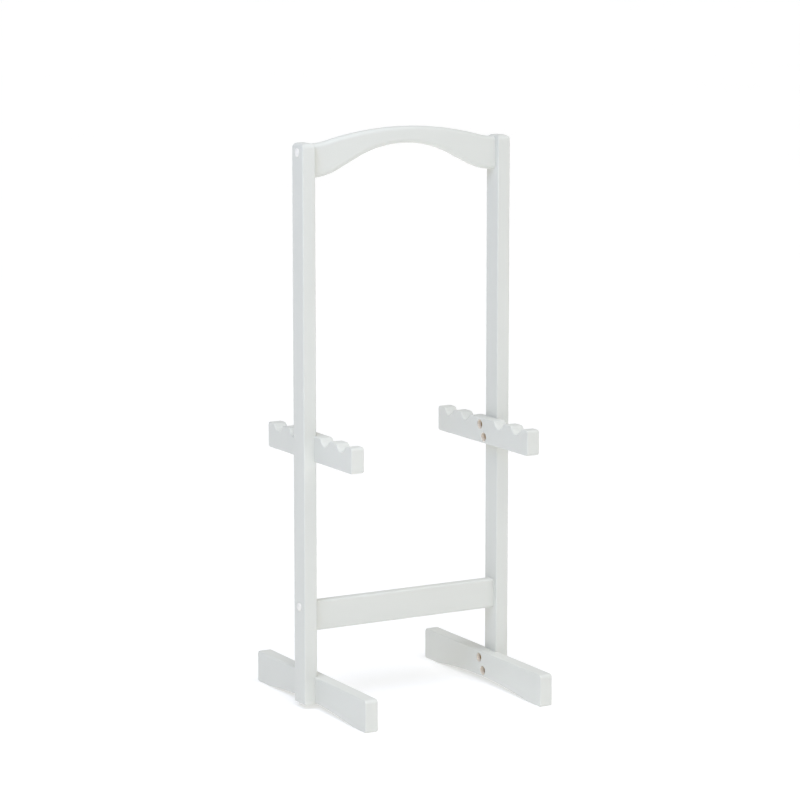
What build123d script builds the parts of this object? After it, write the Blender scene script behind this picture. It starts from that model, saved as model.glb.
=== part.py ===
from build123d import *
import math
import os

# Newspaper rack: two posts joined by an arched top rail and a stretcher. Each post carries a foot and a
# notched bracket for the rods. X is the rack's width, -Y its front, Z up. Millimetres, the floor is z = 0.

# Stock and overall size
WIDTH = 500.0  # outer face of one post to outer face of the other
BAR_THICK = 30.0  # thickness along X of posts, feet and brackets
POST_DEPTH = 48.0
POST_BOTTOM = 10.0  # the posts end just above the floor
POST_TOP = 1199.0
POST_TOP_RADIUS = 12.0  # front and back edges of a post's top
POST_TOP_SIDE_RADIUS = 11.0  # left and right edges of a post's top
EASE = 2.5  # small rounding on every long edge of posts, feet and brackets
HOUSING_DEPTH = 6.0  # how far a foot or bracket is let over its post
HOUSING_PLAY = 0.1

# Rails
RAIL_THICK = 24.0
TOP_RAIL_ROUND = 10.0
STRETCHER_ROUND = 5.0
RAIL_CREST_TOP = 1225.0
RAIL_CREST_BOTTOM = 1189.5
RAIL_END_BOTTOM = 1125.0
RAIL_TOP_RADIUS = 720.0
RAIL_TOP_ARCH_HALF = 185.0
RAIL_ARCH_RADIUS = 248.0
RAIL_ARCH_ANGLE = 26.6  # steepest slope of the lower edge
STRETCHER_BOTTOM = 166.0
STRETCHER_TOP = 230.0

# Feet
FOOT_LENGTH = 492.0
FOOT_HEIGHT = 69.0
FOOT_ARCH_HALF = 188.0
FOOT_ARCH_RISE = 13.0
FOOT_TOP_RADIUS = 8.0
FOOT_BOTTOM_RADIUS = 5.0

# Brackets
BRACKET_LENGTH = 376.0
BRACKET_BOTTOM = 531.0
BRACKET_TOP = 586.0
BRACKET_END_RADIUS = 6.0
NOTCH_PITCH = 70.5  # the middle place is left solid for the screws
NOTCH_PLACES = (-2, -1, 1, 2)
NOTCH_RADIUS = 18.0
NOTCH_DEPTH = 15.0
NOTCH_SHOULDER = 10.0

# Screws through feet and brackets into the posts
SCREW_SPREAD_Y = 16.0
SCREW_SPREAD_Z = 26.0
FOOT_SCREW_Z = 40.0
BRACKET_SCREW_Z = 558.0
SCREW_SINK_RADIUS = 10.0
SCREW_SINK_DEPTH = 12.0
SCREW_HEAD_RADIUS = 9.0
SCREW_HEAD_HEIGHT = 4.0
SCREW_HEAD_CHAMFER = 0.6
SCREW_LENGTH = 25.0
THREAD_RADIUS = 3.0
CLEARANCE_RADIUS = 3.3
SOCKET_FLATS = 4.0
SOCKET_DEPTH = 2.4
INSERT_RADIUS = 5.0
INSERT_LENGTH = 13.0
THREAD_BORE = 3.05  # plain bore that stands for an M6 thread
INSERT_CHAMFER = 0.6
INSERT_HOLE_DEPTH = 15.0

# Bolts, barrel nuts and dowels between posts and rails
RAIL_PIN_SPREAD = 40.0  # bolt above, dowel below
TOP_RAIL_PIN_Z = 1159.0
STRETCHER_PIN_Z = 199.0
BOLT_SINK_RADIUS = 7.5
BOLT_SINK_DEPTH = 8.0
BOLT_HEAD_RADIUS = 6.5
BOLT_HEAD_HEIGHT = 4.0
BOLT_CHAMFER = 0.5
BOLT_LENGTH = 60.0
BOLT_HOLE_IN_RAIL = 42.0
NUT_RADIUS = 5.0
NUT_LENGTH = 18.0
NUT_FROM_END = 34.0
NUT_SLOT_WIDTH = 1.4
NUT_SLOT_DEPTH = 1.5
DOWEL_RADIUS = 4.0
DOWEL_LENGTH = 30.0
DOWEL_IN_POST = 12.0
DOWEL_CHAMFER = 0.8
FIT_PLAY = 0.05  # radial play round dowels, nuts and inserts

# Cover caps on the posts' outer faces
CAP_RADIUS = 9.0
CAP_RIM = 1.0
CAP_DOME = 2.5
CAP_SPIGOT_RADIUS = 7.4
CAP_SPIGOT_WALL = 1.2
CAP_SPIGOT_LENGTH = 3.0

# Values worked out from the ones above
POST_OUTER = WIDTH / 2
POST_INNER = POST_OUTER - BAR_THICK
BAR_OUTER = POST_INNER + HOUSING_DEPTH
BAR_INNER = BAR_OUTER - BAR_THICK
SIDES = {"left": -1, "right": 1}
TURNS = {"left": 180, "right": 0}  # the left side is the right side turned half round about Z
RAILS = {"top_rail": TOP_RAIL_PIN_Z, "stretcher": STRETCHER_PIN_Z}
BARS = {"bracket": BRACKET_SCREW_Z, "foot": FOOT_SCREW_Z}


def rod_x(radius, x_from, x_to, y, z):
    """Round bar along X between two x values."""
    return Pos((x_from + x_to) / 2, y, z) * Rot(0, 90, 0) * Cylinder(radius, abs(x_to - x_from))


def hex_x(flats, x_from, x_to, y, z):
    """Hexagonal bar along X between two x values."""
    section = RegularPolygon(flats / 2, 6, major_radius=False)
    bar = extrude(section, abs(x_to - x_from) / 2, both=True)
    return Pos((x_from + x_to) / 2, y, z) * Rot(0, 90, 0) * bar


def bar_from_outline(outline, x_low, x_high, ease):
    """Extrude an outline drawn in the Y-Z plane from x_low to x_high, and ease both its faces' edges."""
    solid = extrude(Plane.YZ * outline, x_high - x_low)
    solid = Pos(x_low, 0, 0) * solid
    faces = solid.faces().filter_by(Axis.X).sort_by(Axis.X)
    return fillet(faces[0].edges() + faces[-1].edges(), ease)


def screw_places(middle_z):
    """The two screws of a foot or bracket, on a diagonal."""
    half_y = SCREW_SPREAD_Y / 2
    half_z = SCREW_SPREAD_Z / 2
    return {"upper": (half_y, middle_z + half_z), "lower": (-half_y, middle_z - half_z)}


def make_post():
    """The right upright with its rounded top, cap sinks, dowel holes and insert holes."""
    height = POST_TOP - POST_BOTTOM
    outline = Pos(0, POST_BOTTOM + height / 2) * Rectangle(POST_DEPTH, height)
    outline = fillet(outline.vertices().group_by(Axis.Y)[-1], POST_TOP_RADIUS)
    post = bar_from_outline(outline, POST_INNER, POST_OUTER, EASE)
    front = Pos(POST_INNER + BAR_THICK / 2, POST_BOTTOM + height / 2) * Rectangle(BAR_THICK, height)
    front = fillet(front.vertices().group_by(Axis.Y)[-1], POST_TOP_SIDE_RADIUS)
    post &= extrude(Plane.XZ * front, POST_DEPTH / 2, both=True)
    end_edges = post.faces().sort_by(Axis.Z)[0].edges().filter_by(Axis.X)
    post = fillet(end_edges, EASE / 2)
    for pin_z in RAILS.values():
        bolt_z = pin_z + RAIL_PIN_SPREAD / 2
        dowel_z = pin_z - RAIL_PIN_SPREAD / 2
        dowel_end = POST_INNER + DOWEL_IN_POST + FIT_PLAY
        post -= rod_x(CLEARANCE_RADIUS, POST_INNER, POST_OUTER, 0, bolt_z)
        post -= rod_x(BOLT_SINK_RADIUS, POST_OUTER - BOLT_SINK_DEPTH, POST_OUTER, 0, bolt_z)
        post -= rod_x(DOWEL_RADIUS + FIT_PLAY, POST_INNER, dowel_end, 0, dowel_z)
    for middle_z in BARS.values():
        for y, z in screw_places(middle_z).values():
            post -= rod_x(INSERT_RADIUS + FIT_PLAY, POST_INNER, POST_INNER + INSERT_HOLE_DEPTH, y, z)
    return post


def drill_rail(rail, pin_z):
    """Bolt hole, barrel nut hole from the back and dowel hole, at both ends of a rail."""
    bolt_z = pin_z + RAIL_PIN_SPREAD / 2
    dowel_z = pin_z - RAIL_PIN_SPREAD / 2
    dowel_in_rail = DOWEL_LENGTH - DOWEL_IN_POST + FIT_PLAY
    nut_bottom = -NUT_LENGTH / 2 - FIT_PLAY
    nut_hole_length = RAIL_THICK / 2 - nut_bottom
    nut_hole_y = RAIL_THICK / 2 - nut_hole_length / 2
    for side in SIDES.values():
        end = side * POST_INNER
        rail -= rod_x(CLEARANCE_RADIUS, end, end - side * BOLT_HOLE_IN_RAIL, 0, bolt_z)
        rail -= rod_x(DOWEL_RADIUS + FIT_PLAY, end, end - side * dowel_in_rail, 0, dowel_z)
        nut_hole = Rot(90, 0, 0) * Cylinder(NUT_RADIUS + FIT_PLAY, nut_hole_length)
        rail -= Pos(end - side * NUT_FROM_END, nut_hole_y, bolt_z) * nut_hole
    return rail


def top_rail_outline():
    """Front view of the top rail: an arched top with flared ends, and an S-curved underside."""
    slope = math.asin(RAIL_TOP_ARCH_HALF / RAIL_TOP_RADIUS)
    arch_end_z = RAIL_CREST_TOP - RAIL_TOP_RADIUS * (1 - math.cos(slope))
    flare_radius = (POST_INNER - RAIL_TOP_ARCH_HALF) / math.sin(slope)
    end_top_z = arch_end_z - flare_radius * (1 - math.cos(slope))

    steep = math.radians(RAIL_ARCH_ANGLE)
    fall = 1 - math.cos(steep)
    arch_half = RAIL_ARCH_RADIUS * math.sin(steep)
    arch_z = RAIL_CREST_BOTTOM - RAIL_ARCH_RADIUS * fall
    run = POST_INNER - arch_half
    drop = arch_z - RAIL_END_BOTTOM
    foot_radius = (run * math.tan(steep) - drop) / (math.sin(steep) * math.tan(steep) - fall)
    foot_x = POST_INNER - foot_radius * math.sin(steep)
    foot_z = RAIL_END_BOTTOM + foot_radius * fall

    top_ends = [(side * RAIL_TOP_ARCH_HALF, arch_end_z) for side in SIDES.values()]
    edges = ThreePointArc(top_ends[0], (0, RAIL_CREST_TOP), top_ends[1])
    edges += ThreePointArc((-arch_half, arch_z), (0, RAIL_CREST_BOTTOM), (arch_half, arch_z))
    for side in SIDES.values():
        end = side * POST_INNER
        edges += TangentArc((end, end_top_z), (side * RAIL_TOP_ARCH_HALF, arch_end_z), tangent=(-side, 0))
        edges += TangentArc((end, RAIL_END_BOTTOM), (side * foot_x, foot_z), tangent=(-side, 0))
        edges += Line((side * foot_x, foot_z), (side * arch_half, arch_z))
        edges += Line((end, end_top_z), (end, RAIL_END_BOTTOM))
    return make_face(edges)


def make_top_rail():
    """The arched board between the posts, with its long edges rounded."""
    board = extrude(Plane.XZ * top_rail_outline(), RAIL_THICK / 2, both=True)
    faces = board.faces().filter_by(Axis.Y).sort_by(Axis.Y)
    edges = faces[0].edges() + faces[-1].edges()
    long_edges = [edge for edge in edges if abs(edge.center().X) < POST_INNER - EASE]
    return drill_rail(fillet(long_edges, TOP_RAIL_ROUND), TOP_RAIL_PIN_Z)


def make_stretcher():
    """The straight lower rail between the posts."""
    height = STRETCHER_TOP - STRETCHER_BOTTOM
    board = Pos(0, 0, STRETCHER_BOTTOM + height / 2) * Box(2 * POST_INNER, RAIL_THICK, height)
    board = fillet(board.edges().filter_by(Axis.X), STRETCHER_ROUND)
    return drill_rail(board, STRETCHER_PIN_Z)


def house_and_drill(bar, z_low, z_high, middle_z):
    """Cut the housing that fits over the post, and the sunk screw holes."""
    height = z_high - z_low
    housing = Box(HOUSING_DEPTH, POST_DEPTH + 2 * HOUSING_PLAY, height)
    bar -= Pos(BAR_OUTER - HOUSING_DEPTH / 2, 0, z_low + height / 2) * housing
    for y, z in screw_places(middle_z).values():
        bar -= rod_x(CLEARANCE_RADIUS, BAR_INNER, BAR_OUTER, y, z)
        bar -= rod_x(SCREW_SINK_RADIUS, BAR_INNER, BAR_INNER + SCREW_SINK_DEPTH, y, z)
    return bar


def make_foot():
    """The right foot, with a shallow arch underneath so that it stands on a pad at each end."""
    outline = Pos(0, FOOT_HEIGHT / 2) * Rectangle(FOOT_LENGTH, FOOT_HEIGHT)
    outline = fillet(outline.vertices().group_by(Axis.Y)[-1], FOOT_TOP_RADIUS)
    outline = fillet(outline.vertices().group_by(Axis.Y)[0], FOOT_BOTTOM_RADIUS)
    arch_radius = (FOOT_ARCH_HALF**2 + FOOT_ARCH_RISE**2) / (2 * FOOT_ARCH_RISE)
    outline -= Pos(0, FOOT_ARCH_RISE - arch_radius) * Circle(arch_radius)
    foot = bar_from_outline(outline, BAR_INNER, BAR_OUTER, EASE)
    return house_and_drill(foot, 0, FOOT_HEIGHT, FOOT_SCREW_Z)


def make_bracket():
    """The right bracket, with four round notches that the rods rest in."""
    height = BRACKET_TOP - BRACKET_BOTTOM
    outline = Pos(0, BRACKET_BOTTOM + height / 2) * Rectangle(BRACKET_LENGTH, height)
    outline = fillet(outline.vertices(), BRACKET_END_RADIUS)
    notch_z = BRACKET_TOP - NOTCH_DEPTH + NOTCH_RADIUS
    for place in NOTCH_PLACES:
        outline -= Pos(place * NOTCH_PITCH, notch_z) * Circle(NOTCH_RADIUS)
    notch_half = math.sqrt(NOTCH_RADIUS**2 - (NOTCH_RADIUS - NOTCH_DEPTH) ** 2)
    shoulders = [
        vertex
        for vertex in outline.vertices()
        for place in NOTCH_PLACES
        if abs(abs(vertex.X - place * NOTCH_PITCH) - notch_half) < 0.01
    ]
    outline = fillet(shoulders, NOTCH_SHOULDER)
    bracket = bar_from_outline(outline, BAR_INNER, BAR_OUTER, EASE)
    return house_and_drill(bracket, BRACKET_BOTTOM, BRACKET_TOP, BRACKET_SCREW_Z)


def make_screw(y, z):
    """A furniture screw with a wide flat head and a hexagon socket."""
    seat = BAR_INNER + SCREW_SINK_DEPTH
    head_top = seat - SCREW_HEAD_HEIGHT
    head = rod_x(SCREW_HEAD_RADIUS, head_top, seat, y, z)
    rim = head.edges().filter_by(GeomType.CIRCLE).sort_by(Axis.X)[0]
    head = chamfer(rim, SCREW_HEAD_CHAMFER)
    shank = rod_x(THREAD_RADIUS, seat, seat + SCREW_LENGTH, y, z)
    return head + shank - hex_x(SOCKET_FLATS, head_top, head_top + SOCKET_DEPTH, y, z)


def make_insert(y, z):
    """A threaded insert, flush with the post's inner face."""
    body = rod_x(INSERT_RADIUS, POST_INNER, POST_INNER + INSERT_LENGTH, y, z)
    body = chamfer(body.edges().filter_by(GeomType.CIRCLE), INSERT_CHAMFER)
    return body - rod_x(THREAD_BORE, POST_INNER, POST_INNER + INSERT_LENGTH, y, z)


def make_rail_bolt(z):
    """A long bolt through the post into the barrel nut."""
    seat = POST_OUTER - BOLT_SINK_DEPTH
    head_top = seat + BOLT_HEAD_HEIGHT
    head = rod_x(BOLT_HEAD_RADIUS, seat, head_top, 0, z)
    head = chamfer(head.edges().filter_by(GeomType.CIRCLE), BOLT_CHAMFER)
    shank = rod_x(THREAD_RADIUS, seat - BOLT_LENGTH, seat, 0, z)
    return head + shank - hex_x(SOCKET_FLATS, head_top - SOCKET_DEPTH, head_top, 0, z)


def make_barrel_nut(side, z):
    """A cross dowel in the rail, with a screwdriver slot in its back end."""
    nut = Rot(90, 0, 0) * Cylinder(NUT_RADIUS, NUT_LENGTH)
    nut = chamfer(nut.edges().filter_by(GeomType.CIRCLE), INSERT_CHAMFER)
    nut -= rod_x(THREAD_BORE, -NUT_RADIUS, NUT_RADIUS, 0, 0)
    nut -= Pos(0, NUT_LENGTH / 2, 0) * Box(2 * NUT_RADIUS, 2 * NUT_SLOT_DEPTH, NUT_SLOT_WIDTH)
    return Pos(side * (POST_INNER - NUT_FROM_END), 0, z) * nut


def make_dowel(z):
    """A glued wooden dowel between a post and a rail."""
    outer = POST_INNER + DOWEL_IN_POST
    dowel = rod_x(DOWEL_RADIUS, outer - DOWEL_LENGTH, outer, 0, z)
    return chamfer(dowel.edges().filter_by(GeomType.CIRCLE), DOWEL_CHAMFER)


def make_cap(z):
    """A domed plastic cap whose ring presses into the bolt's sink."""
    dome_radius = (CAP_RADIUS**2 + CAP_DOME**2) / (2 * CAP_DOME)
    dome = Pos(0, 0, CAP_RIM + CAP_DOME - dome_radius) * Sphere(dome_radius)
    block = Pos(0, 0, (CAP_RIM + CAP_DOME) / 2) * Cylinder(CAP_RADIUS, CAP_RIM + CAP_DOME)
    ring = Cylinder(CAP_SPIGOT_RADIUS, CAP_SPIGOT_LENGTH)
    ring -= Cylinder(CAP_SPIGOT_RADIUS - CAP_SPIGOT_WALL, CAP_SPIGOT_LENGTH)
    cap = (block & dome) + Pos(0, 0, -CAP_SPIGOT_LENGTH / 2) * ring
    return Pos(POST_OUTER, 0, z) * Rot(0, 90, 0) * cap


def make_side():
    """Every sub-part of the right side that the left side repeats, by its name after the side's."""
    pieces = {"post": make_post(), "foot": make_foot(), "bracket": make_bracket()}
    for rail, pin_z in RAILS.items():
        bolt_z = pin_z + RAIL_PIN_SPREAD / 2
        pieces[f"{rail}_bolt"] = make_rail_bolt(bolt_z)
        pieces[f"{rail}_cover_cap"] = make_cap(bolt_z)
        pieces[f"{rail}_dowel"] = make_dowel(pin_z - RAIL_PIN_SPREAD / 2)
    for bar, middle_z in BARS.items():
        for place, (y, z) in screw_places(middle_z).items():
            pieces[f"{bar}_{place}_screw"] = make_screw(y, z)
            pieces[f"{bar}_{place}_insert"] = make_insert(y, z)
    return pieces


def build_rack():
    """Every sub-part by its node name."""
    nodes = {"top_rail": make_top_rail(), "stretcher": make_stretcher()}
    for name, turn in TURNS.items():
        for piece, shape in make_side().items():
            nodes[f"{name}_{piece}"] = Rot(0, 0, turn) * shape
        for rail, pin_z in RAILS.items():
            nut = make_barrel_nut(SIDES[name], pin_z + RAIL_PIN_SPREAD / 2)
            nodes[f"{name}_{rail}_barrel_nut"] = nut
    return nodes


os.makedirs("parts", exist_ok=True)
for node, shape in build_rack().items():
    export_step(shape, f"parts/{node}.step")
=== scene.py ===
import math

import bpy
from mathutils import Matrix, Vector


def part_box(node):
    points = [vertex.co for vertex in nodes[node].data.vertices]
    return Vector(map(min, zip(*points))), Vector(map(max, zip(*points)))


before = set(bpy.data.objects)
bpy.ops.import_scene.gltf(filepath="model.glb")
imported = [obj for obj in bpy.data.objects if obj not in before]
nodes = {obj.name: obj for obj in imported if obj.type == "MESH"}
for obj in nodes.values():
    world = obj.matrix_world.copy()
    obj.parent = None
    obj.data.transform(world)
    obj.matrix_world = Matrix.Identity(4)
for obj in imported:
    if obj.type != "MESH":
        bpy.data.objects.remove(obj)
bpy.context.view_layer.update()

# Camera: metres and degrees, with the lens and the sensor in millimetres
CAMERA_PLACE = (-3.1382, -5.5806, 1.7019)
CAMERA_YAW = 29.3  # turned from +Y towards +X
CAMERA_PITCH = 8.28  # looking down
CAMERA_LENS = 137.124
CAMERA_SENSOR = 36.0
CAMERA_SHIFT = -0.075
CAMERA_REACH = 100.0

# Light, where 1 is the light that makes a white surface look just white; metres and degrees
WORLD_LIGHT = 0.24
BACKDROP_LIGHT = 0.62
BACKDROP_TURN = (0.2, 0.8)  # the parts of a direction along +Y where the backdrop begins and is full
BACKDROP_FADE = (0.35, 0.9)  # the parts of a direction along +Z where it starts to fade and is gone
KEY_LIGHT = 0.66
KEY_AZIMUTH = -10.0
KEY_ELEVATION = 70.0
KEY_SOFTNESS = 60.0
FRONT_LIGHT = 0.13
FRONT_PLACE = (-1.7, -3.06, 1.5)
FRONT_SIZE = 0.8
FRONT_COLOUR = (1.0, 0.98, 0.93)
LEFT_LIGHT = 0.21
LEFT_PLACE = (-2.6, -1.5, 3.2)
LEFT_SIZE = 1.6
LEFT_COLOUR = (0.45, 0.60, 1.0)
AIM = (0.0, 0.0, 0.7)  # what the softboxes point at
WHITE = (1.0, 1.0, 1.0, 1)

# Noise: CELLS are its cells per metre, as X, Y and Z or as along and across the grain; RELIEF is in metres
NOISE_SPAN = (0.3, 0.7)  # most of a noise lies between these values
NARROW_SPAN = (0.35, 0.65)

# White satin paint over wood
PAINT_COLOUR = (0.706, 0.716, 0.674, 1)
PAINT_DARK = (0.692, 0.702, 0.660, 1)
PAINT_LIGHT = (0.720, 0.730, 0.688, 1)
PAINT_CLOUD_CELLS = (2.5, 9.0)
PAINT_GRAIN_CELLS = (14.0, 420.0)
PAINT_BRUSH_CELLS = (30.0, 1500.0)
PAINT_PEEL_CELLS = (260.0, 260.0, 260.0)
PAINT_GRAIN_SPAN = (0.35, 0.75)
PAINT_GRAIN_SHARE = 0.35  # how far the grain evens out the cloudy tone
PAINT_RELIEF = 0.00022
PAINT_RELIEF_GRAIN = 0.6  # the grain's and the brush's shares of the relief
PAINT_RELIEF_BRUSH = 0.25
PAINT_PEEL_RELIEF = 0.0001
PAINT_SHEEN_CLOUD = 0.6  # the cloud's and the grain's shares of the roughness
PAINT_SHEEN_GRAIN = 0.4
PAINT_ROUGHNESS = (0.36, 0.50)
PAINT_COAT = 0.12
PAINT_COAT_ROUGHNESS = 0.28
PIECE_OFFSET = (3.7, 1.9, 5.3)  # moves the noise from one piece to the next

# Walls of the sunk screw holes: bare wood under a thin mist of paint, with painted light, their tone
# lightened past the white paint's to make up for the shade inside the holes
SINK_REACH = 0.01015  # the holes' radius and a little more
SINK_PAINT_EDGE = 0.0004  # the full paint wraps this far into the hole
# painted light: bare-wood tans brighter than the white paint, standing in for light reaching into the
# holes
SINK_PALE_WOOD_AND_PAINTED_LIGHT = (0.96, 0.91, 0.83, 1)
SINK_TAN_WOOD_AND_PAINTED_LIGHT = (0.90, 0.82, 0.72, 1)
SINK_CELLS = (260.0, 90.0, 260.0)
SINK_ROUGHENING = 0.25  # added to the paint's roughness

# Plated steel
ZINC_LIGHT = (0.62, 0.64, 0.66, 1)
ZINC_DARK = (0.42, 0.44, 0.47, 1)
ZINC_ROUGHNESS = (0.30, 0.45)
# Yellow zinc: the plating's own colour, darkened as painted shade for the screw heads that sit deep in
# their holes
YELLOW_ZINC_PALE_WITH_PAINTED_SHADE = (0.42, 0.29, 0.13, 1)
YELLOW_ZINC_DEEP_WITH_PAINTED_SHADE = (0.25, 0.16, 0.07, 1)
YELLOW_ZINC_ROUGHNESS = (0.28, 0.42)
METAL_CLOUD_CELLS = (160.0, 160.0, 160.0)
METAL_MARK_CELLS = (1800.0, 900.0, 900.0)
METAL_RELIEF = 0.00006

# White plastic
CAP_LIGHT = (0.88, 0.865, 0.825, 1)
CAP_DARK = (0.85, 0.835, 0.795, 1)
CAP_CLOUD_CELLS = (70.0, 70.0, 70.0)
CAP_TEXTURE_CELLS = (2400.0, 2400.0, 2400.0)
CAP_ROUGHNESS = (0.34, 0.46)
CAP_RELIEF = 0.00004

# Bare beech
BEECH_LIGHT = (0.56, 0.39, 0.20, 1)
BEECH_DARK = (0.36, 0.22, 0.10, 1)
BEECH_LINE_CELLS = (12.0, 300.0)
BEECH_FLECK_CELLS = (120.0, 1600.0)
BEECH_FLECK_SPAN = (0.62, 0.72)
BEECH_FLECK_SHARE = 0.5  # of the colour, and of the relief beside the lines
BEECH_ROUGHNESS = (0.55, 0.70)
BEECH_RELIEF = 0.0002

# Floor
FLOOR_HALF = 60.0  # half its side
FLOOR_DARK = (0.70, 0.70, 0.70, 1)
FLOOR_LIGHT = (0.72, 0.72, 0.72, 1)
FLOOR_CELLS = (0.8, 0.8, 0.8)
FLOOR_ROUGHNESS = 0.8
FLOOR_RELIEF = 0.0005
FLOOR_GLOW = 0.37

X_AXIS, Y_AXIS, Z_AXIS = 0, 1, 2
GRAIN = {"top_rail": X_AXIS, "stretcher": X_AXIS, "post": Z_AXIS, "foot": Y_AXIS, "bracket": Y_AXIS}


class Graph:
    """A node tree, with one short call per node."""

    def __init__(self, tree, coordinates):
        self.tree = tree
        self.place = self.add("ShaderNodeTexCoord").outputs[coordinates]

    def add(self, kind):
        return self.tree.nodes.new(kind)

    def put(self, socket, value):
        """Link a socket to another node's output, or set its value."""
        if isinstance(value, bpy.types.NodeSocket):
            self.tree.links.new(value, socket)
        else:
            socket.default_value = value

    def parts(self):
        """The three coordinates, one by one."""
        node = self.add("ShaderNodeSeparateXYZ")
        self.put(node.inputs[0], self.place)
        return node.outputs

    def maths(self, operation, *values):
        node = self.add("ShaderNodeMath")
        node.operation = operation
        for socket, value in zip(node.inputs, values):
            self.put(socket, value)
        return node.outputs[0]

    def spread(self, value, low, high, to_low=0.0, to_high=1.0):
        """Map a value from one range to another, held inside it."""
        node = self.add("ShaderNodeMapRange")
        for socket, number in zip(node.inputs, (value, low, high, to_low, to_high)):
            self.put(socket, number)
        return node.outputs[0]


class Surface(Graph):
    """A material's node tree around one shader."""

    def __init__(self, name):
        self.material = bpy.data.materials.new(name)
        self.material.use_nodes = True
        tree = self.material.node_tree
        tree.nodes.clear()
        super().__init__(tree, "Object")
        self.shader = self.add("ShaderNodeBsdfPrincipled")
        self.put(self.add("ShaderNodeOutputMaterial").inputs["Surface"], self.shader.outputs["BSDF"])

    def weighted(self, first, first_share, second, second_share):
        """first * first_share + second * second_share."""
        first_term = self.maths("MULTIPLY", first, first_share)
        return self.maths("ADD", first_term, self.maths("MULTIPLY", second, second_share))

    def noise(self, cells, offset=(0, 0, 0), detail=2.0, roughness=0.5, distortion=0.0):
        """Noise with its number of cells per metre along X, Y and Z."""
        stretch = self.add("ShaderNodeMapping")
        self.put(stretch.inputs["Vector"], self.place)
        stretch.inputs["Scale"].default_value = cells
        stretch.inputs["Location"].default_value = offset
        node = self.add("ShaderNodeTexNoise")
        self.put(node.inputs["Vector"], stretch.outputs[0])
        node.inputs["Scale"].default_value = 1.0
        node.inputs["Detail"].default_value = detail
        node.inputs["Roughness"].default_value = roughness
        node.inputs["Distortion"].default_value = distortion
        return node.outputs["Fac"]

    def blend(self, factor, first, second):
        """A colour between two others."""
        node = self.add("ShaderNodeMix")
        node.data_type = "RGBA"
        colours = [socket for socket in node.inputs if socket.type == "RGBA"]
        self.put(node.inputs[0], factor)
        self.put(colours[0], first)
        self.put(colours[1], second)
        return next(socket for socket in node.outputs if socket.type == "RGBA")

    def bump(self, height, relief, normal=None):
        node = self.add("ShaderNodeBump")
        node.inputs["Strength"].default_value = 1.0
        node.inputs["Distance"].default_value = relief
        self.put(node.inputs["Height"], height)
        if normal is not None:
            self.put(node.inputs["Normal"], normal)
        return node.outputs[0]

    def finish(self, colour, roughness, normal, metallic=0.0):
        self.put(self.shader.inputs["Base Color"], colour)
        self.put(self.shader.inputs["Roughness"], roughness)
        self.put(self.shader.inputs["Normal"], normal)
        self.put(self.shader.inputs["Metallic"], metallic)
        return self.material


def along(axis, cells):
    """Cells per metre along X, Y and Z, from a pair along and across the grain."""
    lengthways, across = cells
    every = [across, across, across]
    every[axis] = lengthways
    return tuple(every)


def sink_mask(surface, name, screws):
    """1 on the walls of the sunk screw holes in the inner face of a foot or bracket, and 0 elsewhere."""
    x, y, z = surface.parts()
    low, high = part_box(name)
    if low[0] + high[0] > 0:
        depth = surface.maths("SUBTRACT", x, float(low[0]))
    else:
        depth = surface.maths("SUBTRACT", float(high[0]), x)
    nearest = None
    for screw in screws:
        screw_low, screw_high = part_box(screw)
        across = surface.maths("SUBTRACT", y, float(screw_low[1] + screw_high[1]) / 2)
        up = surface.maths("SUBTRACT", z, float(screw_low[2] + screw_high[2]) / 2)
        squares = surface.weighted(across, across, up, up)
        nearest = squares if nearest is None else surface.maths("MINIMUM", nearest, squares)
    within = surface.maths("LESS_THAN", nearest, SINK_REACH ** 2)
    return surface.maths("MULTIPLY", within, surface.maths("GREATER_THAN", depth, SINK_PAINT_EDGE))


def painted_wood(name, axis, offset):
    """White satin paint over planed wood, with the grain and the brush just showing along one axis.

    On the walls of sunk screw holes the paint is only a thin mist over bare wood, and that wood's tone is
    painted light, lightened past the white paint's to make up for the shade inside the holes.
    """
    surface = Surface(f"painted_wood_{name}")
    cloud = surface.noise(along(axis, PAINT_CLOUD_CELLS), offset)
    grain = surface.noise(along(axis, PAINT_GRAIN_CELLS), offset, detail=4.0, roughness=0.6)
    brush = surface.noise(along(axis, PAINT_BRUSH_CELLS), offset)
    peel = surface.noise(PAINT_PEEL_CELLS, offset, roughness=0.4)
    tone = surface.blend(surface.spread(cloud, *NOISE_SPAN), PAINT_DARK, PAINT_LIGHT)
    grain_share = surface.spread(grain, *PAINT_GRAIN_SPAN, 0.0, PAINT_GRAIN_SHARE)
    tone = surface.blend(grain_share, tone, PAINT_COLOUR)
    height = surface.weighted(grain, PAINT_RELIEF_GRAIN, brush, PAINT_RELIEF_BRUSH)
    normal = surface.bump(height, PAINT_RELIEF)
    normal = surface.bump(peel, PAINT_PEEL_RELIEF, normal)
    sheen = surface.weighted(cloud, PAINT_SHEEN_CLOUD, grain, PAINT_SHEEN_GRAIN)
    rough = surface.spread(sheen, *NOISE_SPAN, *PAINT_ROUGHNESS)
    screws = [other for other in sorted(nodes) if other.startswith(name) and other.endswith("screw")]
    if screws:
        inside = sink_mask(surface, name, screws)
        # painted light on the hole walls: a bare-wood tone brighter than the paint makes up for their
        # shade
        mist = surface.noise(SINK_CELLS, offset, detail=3.0, roughness=0.6)
        wall_wood_and_painted_light = surface.blend(surface.spread(mist, *NARROW_SPAN), SINK_TAN_WOOD_AND_PAINTED_LIGHT, SINK_PALE_WOOD_AND_PAINTED_LIGHT)
        tone = surface.blend(inside, tone, wall_wood_and_painted_light)
        rough = surface.maths("ADD", rough, surface.maths("MULTIPLY", inside, SINK_ROUGHENING))
    surface.shader.inputs["Coat Weight"].default_value = PAINT_COAT
    surface.shader.inputs["Coat Roughness"].default_value = PAINT_COAT_ROUGHNESS
    return surface.finish(tone, rough, normal)


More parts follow.
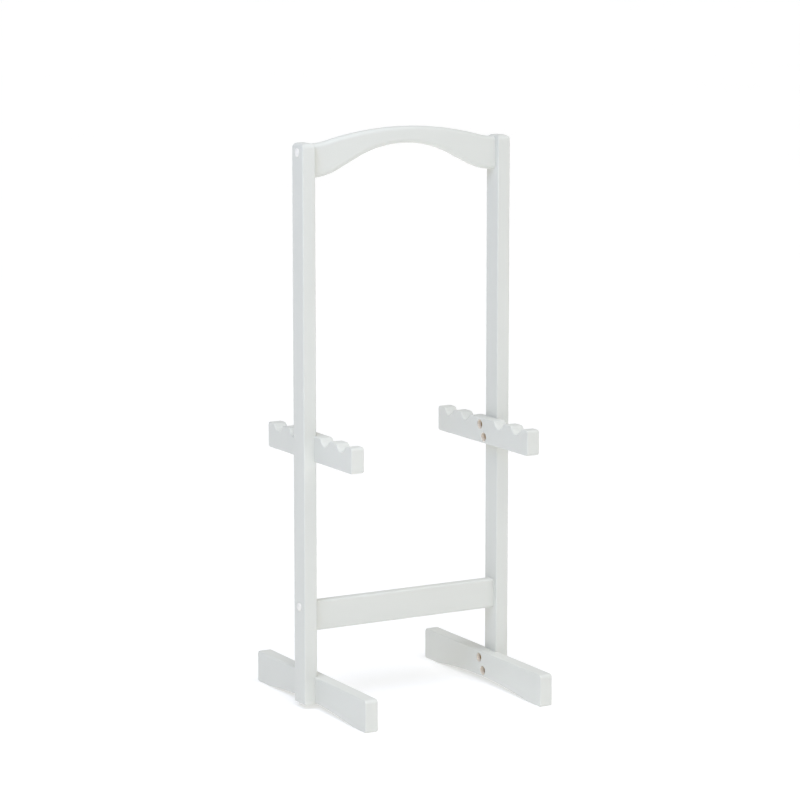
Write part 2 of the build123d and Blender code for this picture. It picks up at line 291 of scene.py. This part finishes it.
def metal(name, light, dark, roughness):
    """Plated steel with fine machining marks and a cloudy passivation."""
    surface = Surface(name)
    cloud = surface.noise(METAL_CLOUD_CELLS, detail=3.0, roughness=0.6)
    marks = surface.noise(METAL_MARK_CELLS)
    tone = surface.blend(surface.spread(cloud, *NOISE_SPAN), dark, light)
    rough = surface.spread(cloud, *NOISE_SPAN, *roughness)
    return surface.finish(tone, rough, surface.bump(marks, METAL_RELIEF), metallic=1.0)


def plastic(name):
    """White moulded plastic with a fine matt texture."""
    surface = Surface(name)
    cloud = surface.noise(CAP_CLOUD_CELLS)
    texture = surface.noise(CAP_TEXTURE_CELLS)
    tone = surface.blend(surface.spread(cloud, *NOISE_SPAN), CAP_DARK, CAP_LIGHT)
    rough = surface.spread(cloud, *NOISE_SPAN, *CAP_ROUGHNESS)
    return surface.finish(tone, rough, surface.bump(texture, CAP_RELIEF))


def bare_wood(name, axis):
    """Bare beech with growth lines and short flecks along one axis."""
    surface = Surface(name)
    lines = surface.noise(along(axis, BEECH_LINE_CELLS), detail=4.0, roughness=0.6, distortion=0.3)
    flecks = surface.noise(along(axis, BEECH_FLECK_CELLS))
    tone = surface.blend(surface.spread(lines, *NARROW_SPAN), BEECH_LIGHT, BEECH_DARK)
    fleck_share = surface.spread(flecks, *BEECH_FLECK_SPAN, 0.0, BEECH_FLECK_SHARE)
    tone = surface.blend(fleck_share, tone, BEECH_DARK)
    height = surface.weighted(lines, 1.0, flecks, BEECH_FLECK_SHARE)
    rough = surface.spread(lines, *NOISE_SPAN, *BEECH_ROUGHNESS)
    return surface.finish(tone, rough, surface.bump(height, BEECH_RELIEF))


def grain_axis(name):
    """The axis that a painted wooden piece's grain follows, or None for any other piece."""
    return GRAIN.get(name, GRAIN.get(name.partition("_")[2]))


def dress(name, material):
    for slot in nodes[name].material_slots:
        slot.material = material


def dress_rack():
    """Give each wooden piece its own painted material, and each fitting the material of its kind."""
    zinc = metal("zinc_plated_steel", ZINC_LIGHT, ZINC_DARK, ZINC_ROUGHNESS)
    # the screws' yellow zinc is darkened as painted shade for their heads deep in the holes
    yellow_with_painted_shade = (YELLOW_ZINC_PALE_WITH_PAINTED_SHADE, YELLOW_ZINC_DEEP_WITH_PAINTED_SHADE, YELLOW_ZINC_ROUGHNESS)
    yellow_zinc_with_painted_shade = metal("yellow_zinc_steel_with_painted_shade", *yellow_with_painted_shade)
    fittings = {
        "bolt": zinc,
        "nut": zinc,
        "insert": zinc,
        "screw": yellow_zinc_with_painted_shade,
        "cap": plastic("white_moulded_plastic"),
        "dowel": bare_wood("bare_beech", X_AXIS),
    }
    wooden = [name for name in sorted(nodes) if grain_axis(name) is not None]
    for number, name in enumerate(wooden):
        offset = tuple(step * number for step in PIECE_OFFSET)
        dress(name, painted_wood(name, grain_axis(name), offset))
    for name in nodes:
        if name not in wooden:
            dress(name, fittings[name.rpartition("_")[2]])


def stage_floor():
    """A large pale floor that glows a little, like a lit studio table."""
    mesh = bpy.data.meshes.new("floor")
    square = ((-1, -1), (1, -1), (1, 1), (-1, 1))
    mesh.from_pydata([(FLOOR_HALF * x, FLOOR_HALF * y, 0.0) for x, y in square], [], [(0, 1, 2, 3)])
    floor = bpy.data.objects.new("floor", mesh)
    bpy.context.scene.collection.objects.link(floor)
    surface = Surface("pale_floor")
    cloud = surface.noise(FLOOR_CELLS)
    tone = surface.blend(surface.spread(cloud, *NOISE_SPAN), FLOOR_DARK, FLOOR_LIGHT)
    surface.shader.inputs["Emission Color"].default_value = WHITE
    surface.shader.inputs["Emission Strength"].default_value = FLOOR_GLOW
    mesh.materials.append(surface.finish(tone, FLOOR_ROUGHNESS, surface.bump(cloud, FLOOR_RELIEF)))


def hang(name, lamp):
    """Put a lamp in the scene."""
    light = bpy.data.objects.new(name, lamp)
    bpy.context.scene.collection.objects.link(light)
    return light


def sun(name, azimuth, elevation, strength, softness):
    """A soft lamp from one direction; azimuth 0 is in front of the rack, and positive is to its right."""
    lamp = bpy.data.lights.new(name, "SUN")
    lamp.energy = strength * math.pi
    lamp.angle = math.radians(softness)
    tilt = math.radians(90.0 - elevation)
    hang(name, lamp).rotation_euler = (tilt, 0, math.radians(azimuth))


def softbox(name, place, size, strength, colour):
    """A square lamp aimed at the rack's middle, with its strength measured there."""
    away = Vector(place) - Vector(AIM)
    lamp = bpy.data.lights.new(name, "AREA")
    lamp.size = size
    lamp.energy = strength * (math.pi * away.length) ** 2
    lamp.color = colour
    light = hang(name, lamp)
    light.location = place
    light.rotation_euler = away.to_track_quat("Z", "Y").to_euler()


def surroundings():
    """White surroundings with a bright backdrop behind the rack, all seen by the camera as pure white."""
    world = bpy.data.worlds.new("studio")
    world.use_nodes = True
    graph = Graph(world.node_tree, "Generated")
    _, behind, up = graph.parts()
    turned = graph.spread(behind, *BACKDROP_TURN)
    share = graph.maths("MULTIPLY", turned, graph.spread(up, *BACKDROP_FADE, 1.0, 0.0))
    around = graph.tree.nodes["Background"]
    graph.put(around.inputs["Color"], WHITE)
    graph.put(around.inputs["Strength"], graph.spread(share, 0.0, 1.0, WORLD_LIGHT, BACKDROP_LIGHT))
    seen = graph.add("ShaderNodeBackground")
    graph.put(seen.inputs["Color"], WHITE)
    mix = graph.add("ShaderNodeMixShader")
    graph.put(mix.inputs[0], graph.add("ShaderNodeLightPath").outputs["Is Camera Ray"])
    graph.put(mix.inputs[1], around.outputs[0])
    graph.put(mix.inputs[2], seen.outputs[0])
    graph.put(graph.tree.nodes["World Output"].inputs["Surface"], mix.outputs[0])
    bpy.context.scene.world = world


def studio():
    """A high key lamp, a softbox at the front left, and a bluish one high at the left."""
    surroundings()
    sun("key", KEY_AZIMUTH, KEY_ELEVATION, KEY_LIGHT, KEY_SOFTNESS)
    softbox("front_softbox", FRONT_PLACE, FRONT_SIZE, FRONT_LIGHT, FRONT_COLOUR)
    softbox("left_softbox", LEFT_PLACE, LEFT_SIZE, LEFT_LIGHT, LEFT_COLOUR)
    bpy.context.scene.view_settings.view_transform = "Standard"


def camera():
    """A long lens at the front left, looking a little down at the rack."""
    data = bpy.data.cameras.new("camera")
    data.sensor_width = CAMERA_SENSOR
    data.lens = CAMERA_LENS
    data.shift_y = CAMERA_SHIFT
    data.clip_end = CAMERA_REACH
    eye = bpy.data.objects.new("camera", data)
    eye.location = CAMERA_PLACE
    eye.rotation_euler = (math.radians(90.0 - CAMERA_PITCH), 0, -math.radians(CAMERA_YAW))
    bpy.context.scene.collection.objects.link(eye)
    bpy.context.scene.camera = eye


dress_rack()
stage_floor()
studio()
camera()
